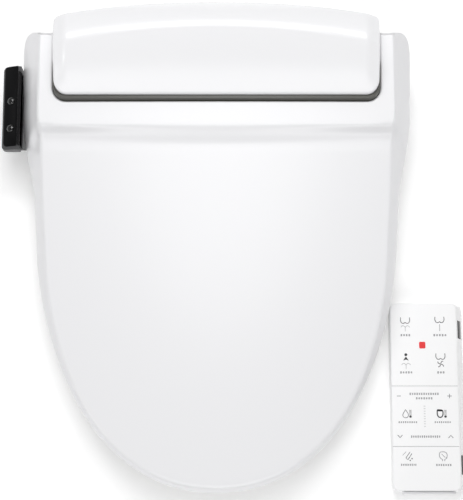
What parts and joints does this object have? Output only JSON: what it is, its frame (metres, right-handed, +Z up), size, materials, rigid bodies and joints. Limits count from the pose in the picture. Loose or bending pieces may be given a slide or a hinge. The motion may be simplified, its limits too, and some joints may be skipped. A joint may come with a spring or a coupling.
{
  "type": "electric bidet seat",
  "caption": "Electric bidet toilet seat: hinged lid over a heated seat ring, rear housing with spray nozzles and dryer, side control pod, and a wireless handset in its holder.",
  "frame": {"origin": "on the bowl rim plane, midway between the two mounting bolts, on the underside of the mounting bracket", "axes": "+X to the right of someone facing the seat, +Y to the wall behind it, +Z up"},
  "size_m": [0.4825, 0.495, 0.1341],
  "materials": {
    "white_gloss": "moulded white plastic with a soft gloss",
    "white_inner": "unpolished white plastic of the inner parts",
    "dark_trim": "dark olive glossy trim",
    "black_gloss": "piano black control face",
    "grey_plastic": "grey moulded plastic",
    "rubber": "dark grey rubber",
    "steel": "bright steel",
    "circuit_board": "green coated circuit board",
    "heater_foil": "heater foil and grid",
    "motor_can": "zinc plated motor can"
  },
  "bodies": {
    "main_body": {"base_tray": "white_inner", "housing_shell": "white_gloss", "top_panel": "white_gloss", "trim_strip": "dark_trim", "rubber_foot_1": "rubber", "rubber_foot_2": "rubber", "rubber_foot_3": "rubber", "rubber_foot_4": "rubber", "case_screw_1": "steel", "case_screw_2": "steel", "case_screw_3": "steel", "case_screw_4": "steel", "side_cover_left": "white_gloss", "side_cover_right": "white_gloss", "hinge_pin_left": "steel", "hinge_pin_right": "steel", "seat_damper": "grey_plastic", "lid_damper": "grey_plastic", "nozzle_guide": "white_inner", "rear_nozzle_motor": "motor_can", "front_nozzle_motor": "motor_can", "water_tank": "white_inner", "tank_heater": "steel", "solenoid_valve": "grey_plastic", "water_inlet": "steel", "control_board": "circuit_board", "power_module": "grey_plastic", "power_gland": "rubber", "blower_case": "white_inner", "blower_motor": "motor_can", "dryer_duct": "white_inner", "dryer_heater": "heater_foil", "side_pod": "grey_plastic", "side_fascia": "black_gloss", "handset_holder": "white_gloss"},
    "seat": {"seat_top": "white_gloss", "seat_base": "white_inner", "seat_heater": "heater_foil", "seat_bumper_1": "rubber", "seat_bumper_2": "rubber", "seat_bumper_3": "rubber", "seat_bumper_4": "rubber"},
    "lid": {"lid_shell": "white_gloss", "lid_bumper_left": "rubber", "lid_bumper_right": "rubber"},
    "bracket": {"mounting_bracket": "white_inner"},
    "release": {"release_button": "grey_plastic"},
    "power_key": {"power_button": "black_gloss"},
    "wash_key": {"wash_button": "black_gloss"},
    "rear_wand": {"rear_nozzle": "white_gloss"},
    "front_wand": {"front_nozzle": "white_gloss"},
    "rear_gear": {"rear_nozzle_pinion": "white_inner"},
    "front_gear": {"front_nozzle_pinion": "white_inner"},
    "fan": {"blower_wheel": "grey_plastic"},
    "flap": {"dryer_flap": "white_gloss"},
    "handset": {"handset_case": "white_gloss", "handset_fascia": "white_gloss", "battery_door": "grey_plastic", "battery_left": "steel", "battery_right": "steel"}
  },
  "joints": [
    {"name": "seat_hinge", "type": "hinge", "parent": "main_body", "child": "seat", "pos_m": [0, 0.025, 0.08], "axis": [-1, 0, 0], "range_deg": [0, 93]},
    {"name": "lid_hinge", "type": "hinge", "parent": "seat", "child": "lid", "pos_m": [0, 0.025, 0.08], "axis": [-1, 0, 0], "range_deg": [0, 95]},
    {"name": "power_press", "type": "slide", "parent": "main_body", "child": "power_key", "axis": [0.3746, 0, -0.9272], "range_m": [0, 0.0012], "stiffness_N_per_m": 300},
    {"name": "wash_press", "type": "slide", "parent": "main_body", "child": "wash_key", "axis": [0.3746, 0, -0.9272], "range_m": [0, 0.0012], "stiffness_N_per_m": 300},
    {"name": "rear_nozzle_slide", "type": "slide", "parent": "main_body", "child": "rear_wand", "axis": [0, -0.8192, -0.5736], "range_m": [0, 0.075]},
    {"name": "rear_pinion_spin", "type": "hinge", "parent": "main_body", "child": "rear_gear", "pos_m": [-0.014, -0.01501, 0.02941], "axis": [1, 0, 0], "range_deg": [-4, 722]},
    {"name": "front_nozzle_slide", "type": "slide", "parent": "main_body", "child": "front_wand", "axis": [0, -0.8192, -0.5736], "range_m": [0, 0.075]},
    {"name": "front_pinion_spin", "type": "hinge", "parent": "main_body", "child": "front_gear", "pos_m": [0.014, -0.01501, 0.02941], "axis": [1, 0, 0], "range_deg": [-4, 722]},
    {"name": "fan_spin", "type": "hinge", "parent": "main_body", "child": "fan", "pos_m": [0.059, 0.012, 0.044], "axis": [1, 0, 0], "continuous": true},
    {"name": "flap_hinge", "type": "hinge", "parent": "main_body", "child": "flap", "pos_m": [0.059, -0.0776, 0.0264], "axis": [-1, 0, 0], "range_deg": [0, 60], "stiffness_Nm_per_rad": 0.002},
    {"name": "bracket_slide", "type": "slide", "parent": "main_body", "child": "bracket", "axis": [0, 1, 0], "range_m": [0, 0.05]},
    {"name": "release_press", "type": "slide", "parent": "main_body", "child": "release", "axis": [-1, 0, 0], "range_m": [0, 0.004], "stiffness_N_per_m": 400},
    {"name": "handset_lift", "type": "slide", "parent": "main_body", "child": "handset", "axis": [0, 0, 1], "range_m": [0, 0.1]}
  ],
  "couplings": [
    {"joint": "rear_pinion_spin", "follows": "rear_nozzle_slide", "rad_per_m": 166.67},
    {"joint": "front_pinion_spin", "follows": "front_nozzle_slide", "rad_per_m": 166.67}
  ]
}
